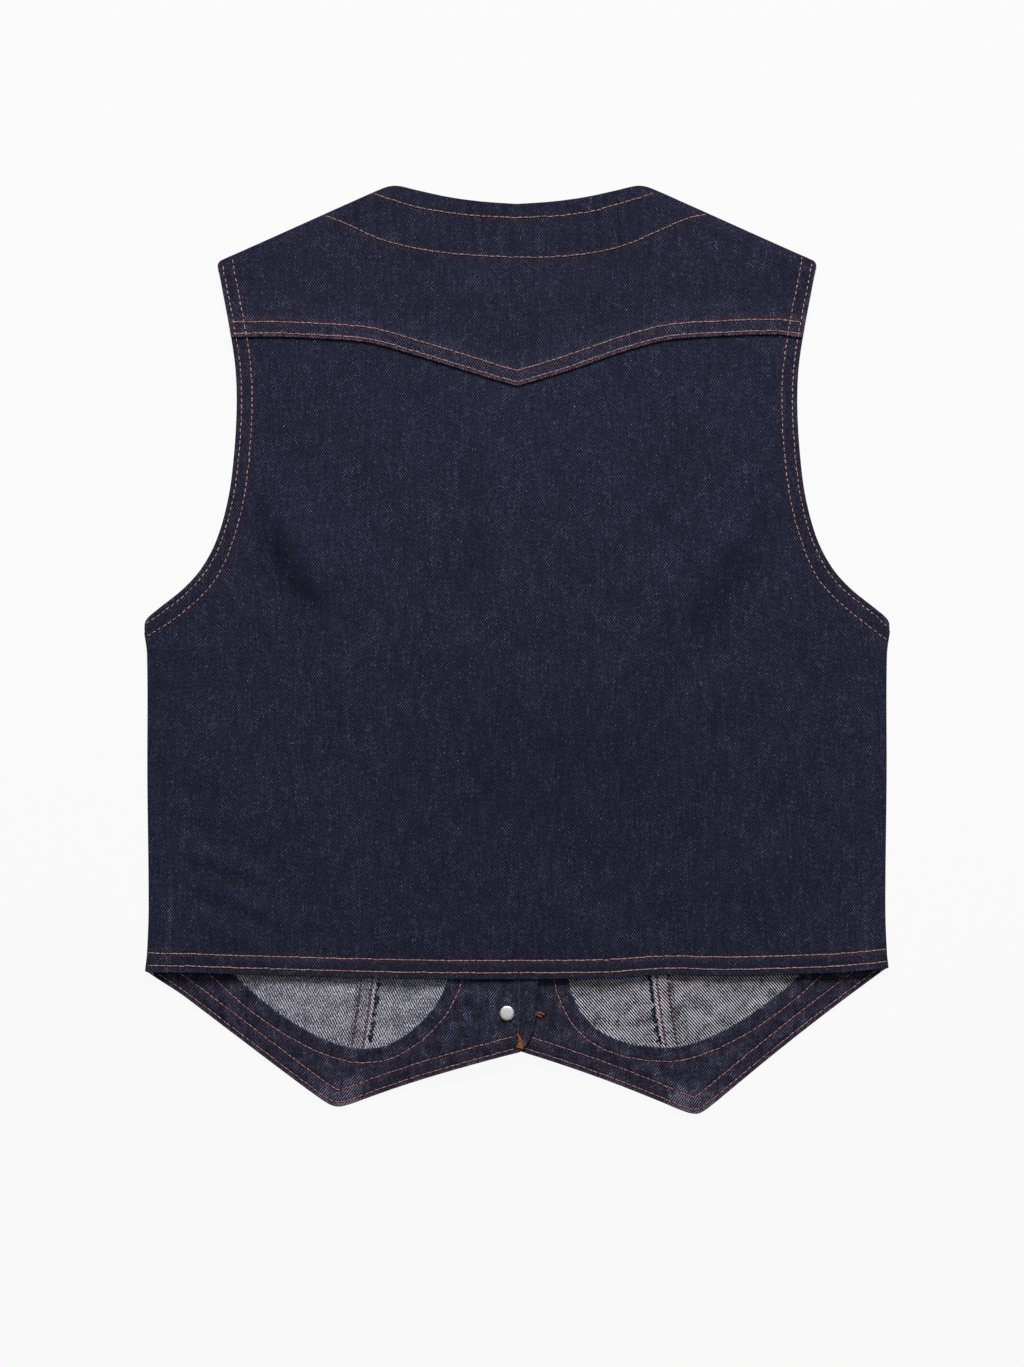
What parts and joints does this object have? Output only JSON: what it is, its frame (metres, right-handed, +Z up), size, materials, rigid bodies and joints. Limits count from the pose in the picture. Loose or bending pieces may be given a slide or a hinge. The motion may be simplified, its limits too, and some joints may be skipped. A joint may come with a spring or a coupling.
{
  "type": "denim vest",
  "caption": "Sleeveless western-style denim vest laid flat on its buttoned fronts, back up, with a pointed back yoke, straight back hem and pointed front hems.",
  "frame": {"origin": "on the resting surface, under the middle of the garment's outline", "axes": "+Y from the hem to the neck, +X to the wearer's right, +Z up out of the back"},
  "size_m": [0.462, 0.5751, 0.0114],
  "materials": {
    "denim_face": "matte raw indigo twill",
    "denim_reverse": "matte grey reverse of indigo twill",
    "button_metal": "satin"
  },
  "bodies": {
    "root": {"back_body": "denim_face", "back_yoke": "denim_face", "front_side_left": "denim_reverse", "front_side_right": "denim_reverse", "front_centre_left": "denim_reverse", "front_centre_right": "denim_reverse", "front_facing_left": "denim_face", "front_facing_right": "denim_face", "button_1": "button_metal", "button_2": "button_metal", "button_3": "button_metal", "button_4": "button_metal", "button_5": "button_metal"}
  },
  "joints": []
}
